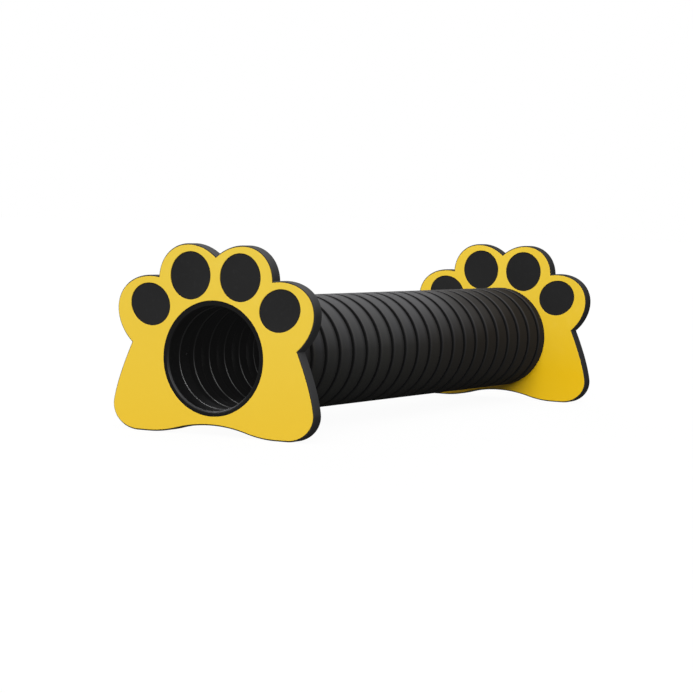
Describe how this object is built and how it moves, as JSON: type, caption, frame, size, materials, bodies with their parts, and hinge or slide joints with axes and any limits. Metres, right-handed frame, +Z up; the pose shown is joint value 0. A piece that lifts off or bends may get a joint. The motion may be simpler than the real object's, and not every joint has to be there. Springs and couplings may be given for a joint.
{
  "type": "dog crawl tunnel",
  "caption": "Rigid dog crawl tunnel: a wide ribbed black pipe held level between two paw-shaped yellow and black end boards with round entries.",
  "frame": {"origin": "on the ground under the middle of the tunnel", "axes": "+Z up, +Y along the tunnel from the near board to the far board, +X to the right seen from the near end"},
  "size_m": [1.0168, 3.0766, 0.8311],
  "materials": {
    "yellow_skin": "satin, even yellow, fine moulded grain",
    "black_core": "satin black, machined edges, fine grain",
    "black_collar": "smooth satin black with a rounded lip",
    "black_pipe": "satin black extruded pipe",
    "black_steel": "black coated steel"
  },
  "bodies": {
    "root": {"corrugated_pipe": "black_pipe", "pipe_liner": "black_pipe", "near_core_board": "black_core", "near_outer_skin": "yellow_skin", "near_inner_skin": "yellow_skin", "near_entry_collar": "black_collar", "near_collar_screw_1": "black_steel", "near_washer_1": "black_steel", "near_nut_1": "black_steel", "near_collar_screw_2": "black_steel", "near_washer_2": "black_steel", "near_nut_2": "black_steel", "near_collar_screw_3": "black_steel", "near_washer_3": "black_steel", "near_nut_3": "black_steel", "near_collar_screw_4": "black_steel", "near_washer_4": "black_steel", "near_nut_4": "black_steel", "far_core_board": "black_core", "far_outer_skin": "yellow_skin", "far_inner_skin": "yellow_skin", "far_entry_collar": "black_collar", "far_collar_screw_1": "black_steel", "far_washer_1": "black_steel", "far_nut_1": "black_steel", "far_collar_screw_2": "black_steel", "far_washer_2": "black_steel", "far_nut_2": "black_steel", "far_collar_screw_3": "black_steel", "far_washer_3": "black_steel", "far_nut_3": "black_steel", "far_collar_screw_4": "black_steel", "far_washer_4": "black_steel", "far_nut_4": "black_steel"}
  },
  "joints": []
}
